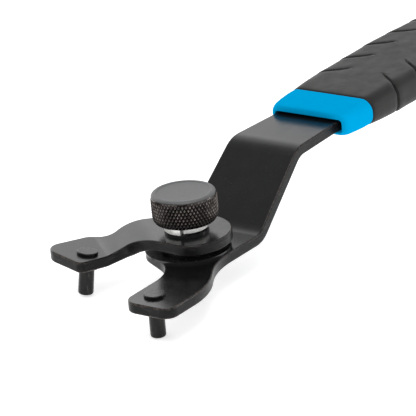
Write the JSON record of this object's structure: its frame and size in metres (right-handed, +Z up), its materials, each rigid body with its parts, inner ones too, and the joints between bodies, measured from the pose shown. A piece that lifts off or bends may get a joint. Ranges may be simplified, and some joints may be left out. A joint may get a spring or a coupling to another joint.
{
  "type": "adjustable two-pin spanner",
  "caption": "Cranked flat steel pin spanner with one fixed and one swinging jaw, a knurled locking knob and a soft rubber handle.",
  "frame": {"origin": "on the fixed pin's axis, in the plane of its shoulder, where the working length of the pin begins", "axes": "+X along the bar from the jaws to the handle, +Z up and away from the pins, +Y towards the side on which the swinging arm stands open"},
  "size_m": [0.2555, 0.0719, 0.0437],
  "materials": {
    "black_coated_steel": "satin black coating over pressed steel",
    "black_oxide_pin": "black oxide, drawn marks along the pin",
    "zinc_steel": "zinc plated",
    "black_washer": "black phosphate",
    "bright_zinc": "bright zinc",
    "black_oxide_knurl": "black oxide with diamond knurling",
    "blue_plastic": "fine moulded satin",
    "black_rubber": "soft matt rubber"
  },
  "bodies": {
    "handle_and_fixed_jaw": {"main_bar": "black_coated_steel", "fixed_pin": "black_oxide_pin", "pivot_stud": "zinc_steel", "friction_washer": "black_washer", "spacer_washer": "black_washer", "handle_core": "blue_plastic", "rubber_grip": "black_rubber"},
    "swinging_jaw": {"swing_arm": "black_coated_steel", "swing_pin": "black_oxide_pin", "flat_washer": "black_washer"},
    "screw_lift": {"lock_washer": "bright_zinc"},
    "knob": {"thumb_knob": "black_oxide_knurl"}
  },
  "joints": [
    {"name": "jaw_swing", "type": "hinge", "parent": "handle_and_fixed_jaw", "child": "swinging_jaw", "pos_m": [0.0407, 0.0147, 0.0099], "axis": [0, 0, 1], "range_deg": [-52, 51]},
    {"name": "knob_lift", "type": "slide", "parent": "handle_and_fixed_jaw", "child": "screw_lift", "axis": [0, 0, 1], "range_m": [0, 0.0025]},
    {"name": "knob_turn", "type": "hinge", "parent": "screw_lift", "child": "knob", "pos_m": [0.0407, 0.0147, 0.02], "axis": [0, 0, 1], "range_deg": [0, 720]}
  ],
  "couplings": [
    {"joint": "knob_turn", "follows": "knob_lift", "rad_per_m": 5026.5}
  ]
}
